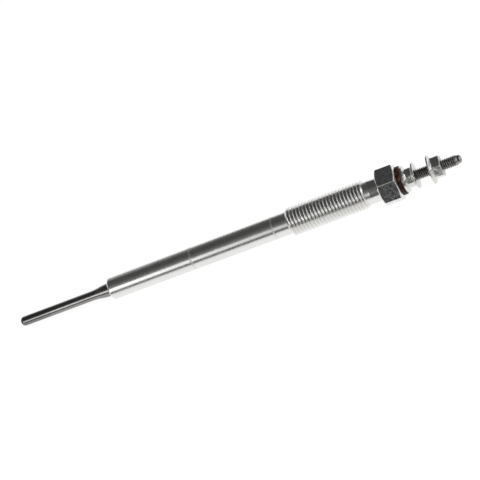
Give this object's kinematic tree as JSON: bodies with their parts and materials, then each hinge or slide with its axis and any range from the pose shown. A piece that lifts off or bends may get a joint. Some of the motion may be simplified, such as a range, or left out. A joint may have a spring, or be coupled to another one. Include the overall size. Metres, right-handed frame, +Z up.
{
  "type": "diesel glow plug",
  "caption": "Slim diesel glow plug: sheathed heater, long smooth shank, mounting thread, hexagon, insulating collar and a threaded terminal with flange nuts.",
  "frame": {"origin": "on the surface that the plug lies on, under the middle of its length", "axes": "+X along the plug towards its terminal, +Z up, the plug lying on its hexagon and nose"},
  "size_m": [0.1704, 0.0138, 0.0121],
  "materials": {
    "plated_steel": "bright turned, satin plated",
    "sheath_alloy": "dark burnished nickel alloy",
    "resistance_wire": "drawn wire",
    "magnesia": "packed powder",
    "seal_rubber": "matt moulded",
    "rod_steel": "rolled thread, lightly oiled",
    "insulator": "brown moulded phenolic",
    "washer_steel": "zinc plated",
    "nut_steel": "zinc plated"
  },
  "bodies": {
    "root": {"body": "plated_steel", "heater_sheath": "sheath_alloy", "heating_coil": "resistance_wire", "control_coil": "resistance_wire", "magnesia_filling": "magnesia", "sheath_seal": "seal_rubber", "centre_rod": "rod_steel", "o_ring": "seal_rubber", "insulating_bush": "insulator", "plain_washer": "washer_steel", "clamp_nut": "nut_steel", "terminal_nut": "nut_steel"}
  },
  "joints": []
}
